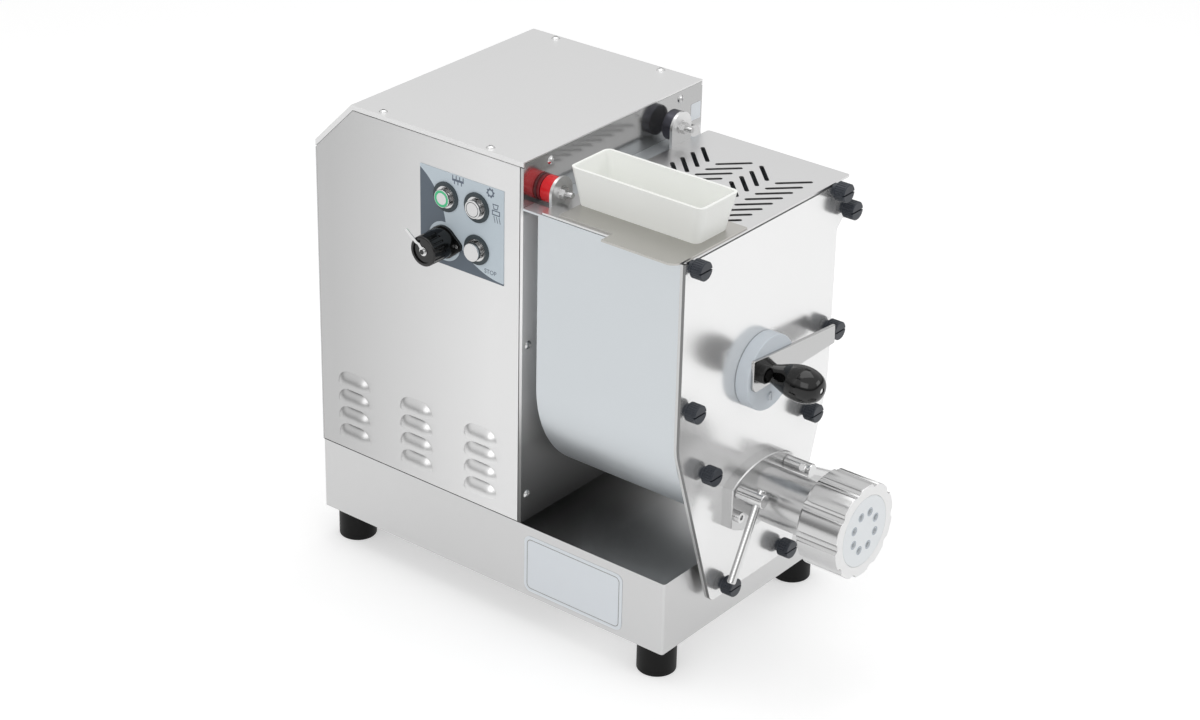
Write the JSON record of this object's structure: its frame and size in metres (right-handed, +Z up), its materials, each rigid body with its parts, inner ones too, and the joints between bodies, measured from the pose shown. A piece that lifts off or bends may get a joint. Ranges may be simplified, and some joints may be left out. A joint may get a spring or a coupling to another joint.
{
  "type": "fresh pasta extruder",
  "caption": "Table-top pasta machine with motor casing, lidded mixing tank with paddle, extrusion barrel, die and ring nut, control buttons and clamp handles.",
  "frame": {"origin": "bottom centre of the whole machine's bounding box, on the table", "axes": "+X to the machine's right seen from the front, +Y to the rear, +Z up"},
  "size_m": [0.3242, 0.6066, 0.5073],
  "materials": {
    "steel_satin": "satin stainless steel",
    "steel_brushed": "finely brushed stainless sheet",
    "steel_polished": "polished stainless steel",
    "steel_mirror": "mirror-polished stainless sheet",
    "steel_bright": "bright steel fasteners and turned parts",
    "gear_steel": "oiled gear steel",
    "tank_steel": "satin stainless sheet",
    "lid_steel": "fine matt stainless sheet",
    "tray_steel": "satin stainless sheet",
    "cast_metal": "machined plate",
    "aluminium": "finned housing",
    "ring_metal": "satin turned ring",
    "button_metal": "bright metal push button",
    "rubber": "black rubber",
    "black_plastic": "black moulded plastic",
    "black_knob": "black knurled plastic",
    "grip_black": "glossy black grip",
    "magnet_red": "glossy red plastic",
    "sensor_red": "dark red plastic",
    "label_print": "printed light blue-grey film with a slate area",
    "tray_plastic": "off-white plastic",
    "bush_plastic": "pale machined plastic",
    "die_plastic": "white plastic die",
    "motor_paint": "dark blue-grey painted motor"
  },
  "bodies": {
    "machine": {"base_tray": "steel_satin", "base_bottom_plate": "steel_satin", "feet": "rubber", "frame_bolts": "steel_bright", "side_panel_left": "steel_brushed", "side_panel_right": "steel_brushed", "top_cover": "steel_brushed", "casing_front_plate": "steel_polished", "casing_rear_plate": "steel_satin", "casing_screws": "steel_bright", "cable_gland": "black_plastic", "control_label": "label_print", "button_housings": "button_metal", "socket_flange": "black_plastic", "gearmotor": "motor_paint", "gearbox_rear_plate": "cast_metal", "gearbox_front_plate": "cast_metal", "shaft_bearings": "steel_bright", "shaft_seals": "rubber", "power_module": "aluminium", "mixing_tank": "tank_steel", "front_frame": "steel_satin", "front_panel": "steel_mirror", "interlock_sensor": "sensor_red", "rear_hinge_bracket": "steel_satin", "barrel": "steel_satin", "die": "die_plastic", "flange_screws": "steel_bright"},
    "lid": {"lid": "lid_steel", "interlock_magnet": "magnet_red", "lid_bumper": "rubber", "ear_bolts": "steel_bright", "tray_plate": "tray_steel"},
    "tray": {"loading_tray": "tray_plastic"},
    "bush_lever": {"shaft_bush": "bush_plastic", "retaining_bar": "steel_polished", "lever_fasteners": "black_knob", "bar_grip": "grip_black"},
    "paddle": {"mixing_paddle": "steel_satin", "paddle_gear": "gear_steel"},
    "auger_shaft": {"auger": "steel_satin", "auger_gear": "gear_steel"},
    "motor_shaft": {"motor_pinion": "steel_bright"},
    "start_button": {"start_button": "button_metal"},
    "extrude_button": {"extrude_button": "button_metal"},
    "stop_button": {"stop_button": "button_metal"},
    "socket_cap": {"socket_cap": "black_plastic", "cap_strap": "steel_bright"},
    "ring_nut": {"ring_nut": "ring_metal"},
    "clamp_left": {"clamp_handle_left": "steel_bright"},
    "clamp_right": {"clamp_handle_right": "steel_bright"},
    "pivot_knob": {"lid_pivot_knob": "black_knob"},
    "knob_top_left": {"knob_top_left": "black_knob"},
    "knob_top_right": {"knob_top_right": "black_knob"},
    "knob_middle_left": {"knob_middle_left": "black_knob"},
    "knob_middle_right": {"knob_middle_right": "black_knob"},
    "knob_lower_left": {"knob_lower_left": "black_knob"},
    "knob_lower_right": {"knob_lower_right": "black_knob"},
    "knob_bottom_left": {"knob_bottom_left": "black_knob"},
    "knob_bottom_right": {"knob_bottom_right": "black_knob"}
  },
  "joints": [
    {"name": "lid_hinge", "type": "hinge", "parent": "machine", "child": "lid", "pos_m": [0.12865, -0.08475, 0.431], "axis": [0, 1, 0], "range_deg": [0, 95]},
    {"name": "tray_lift", "type": "slide", "parent": "lid", "child": "tray", "axis": [0, 0, 1], "range_m": [0, 0.06]},
    {"name": "bush_turn", "type": "hinge", "parent": "machine", "child": "bush_lever", "pos_m": [-0.00235, -0.17225, 0.3065], "axis": [0, -1, 0], "range_deg": [0, 90]},
    {"name": "paddle_spin", "type": "hinge", "parent": "machine", "child": "paddle", "pos_m": [-0.00235, -0.05975, 0.3065], "axis": [0, -1, 0], "continuous": true},
    {"name": "auger_spin", "type": "hinge", "parent": "machine", "child": "auger_shaft", "pos_m": [-0.00235, -0.05975, 0.176], "axis": [0, -1, 0], "continuous": true},
    {"name": "motor_spin", "type": "hinge", "parent": "machine", "child": "motor_shaft", "pos_m": [0.07811, 0.09025, 0.39144], "axis": [0, -1, 0], "continuous": true},
    {"name": "start_button_press", "type": "slide", "parent": "machine", "child": "start_button", "axis": [1, 0, 0], "range_m": [0, 0.0025], "stiffness_N_per_m": 600},
    {"name": "extrude_button_press", "type": "slide", "parent": "machine", "child": "extrude_button", "axis": [1, 0, 0], "range_m": [0, 0.0025], "stiffness_N_per_m": 600},
    {"name": "stop_button_press", "type": "slide", "parent": "machine", "child": "stop_button", "axis": [1, 0, 0], "range_m": [0, 0.0025], "stiffness_N_per_m": 600},
    {"name": "cap_turn", "type": "hinge", "parent": "machine", "child": "socket_cap", "pos_m": [-0.14435, 0.11875, 0.395], "axis": [-1, 0, 0], "continuous": true},
    {"name": "ring_turn", "type": "hinge", "parent": "machine", "child": "ring_nut", "pos_m": [-0.00235, -0.27225, 0.176], "axis": [0, -1, 0], "continuous": true},
    {"name": "clamp_left_turn", "type": "hinge", "parent": "machine", "child": "clamp_left", "pos_m": [-0.04235, -0.20225, 0.192], "axis": [0, -1, 0], "range_deg": [-200, 40]},
    {"name": "clamp_right_turn", "type": "hinge", "parent": "machine", "child": "clamp_right", "pos_m": [0.03765, -0.20225, 0.192], "axis": [0, -1, 0], "range_deg": [-75, 175]},
    {"name": "knob_top_left_turn", "type": "hinge", "parent": "machine", "child": "knob_top_left", "pos_m": [-0.11735, -0.18025, 0.455], "axis": [0, -1, 0], "continuous": true},
    {"name": "knob_top_right_turn", "type": "hinge", "parent": "machine", "child": "knob_top_right", "pos_m": [0.11165, -0.18025, 0.455], "axis": [0, -1, 0], "continuous": true},
    {"name": "knob_middle_left_turn", "type": "hinge", "parent": "machine", "child": "knob_middle_left", "pos_m": [-0.11735, -0.18025, 0.308], "axis": [0, -1, 0], "continuous": true},
    {"name": "knob_middle_right_turn", "type": "hinge", "parent": "machine", "child": "knob_middle_right", "pos_m": [0.11165, -0.18025, 0.308], "axis": [0, -1, 0], "continuous": true},
    {"name": "knob_lower_left_turn", "type": "hinge", "parent": "machine", "child": "knob_lower_left", "pos_m": [-0.08635, -0.18025, 0.228], "axis": [0, -1, 0], "continuous": true},
    {"name": "knob_lower_right_turn", "type": "hinge", "parent": "machine", "child": "knob_lower_right", "pos_m": [0.08165, -0.18025, 0.228], "axis": [0, -1, 0], "continuous": true},
    {"name": "knob_bottom_left_turn", "type": "hinge", "parent": "machine", "child": "knob_bottom_left", "pos_m": [-0.04635, -0.18025, 0.087], "axis": [0, -1, 0], "continuous": true},
    {"name": "knob_bottom_right_turn", "type": "hinge", "parent": "machine", "child": "knob_bottom_right", "pos_m": [0.04865, -0.18025, 0.087], "axis": [0, -1, 0], "continuous": true},
    {"name": "pivot_knob_turn", "type": "hinge", "parent": "machine", "child": "pivot_knob", "pos_m": [0.12865, -0.18025, 0.431], "axis": [0, -1, 0], "continuous": true}
  ],
  "couplings": [
    {"joint": "auger_spin", "follows": "paddle_spin", "ratio": -2},
    {"joint": "motor_spin", "follows": "paddle_spin", "ratio": -2.9}
  ]
}
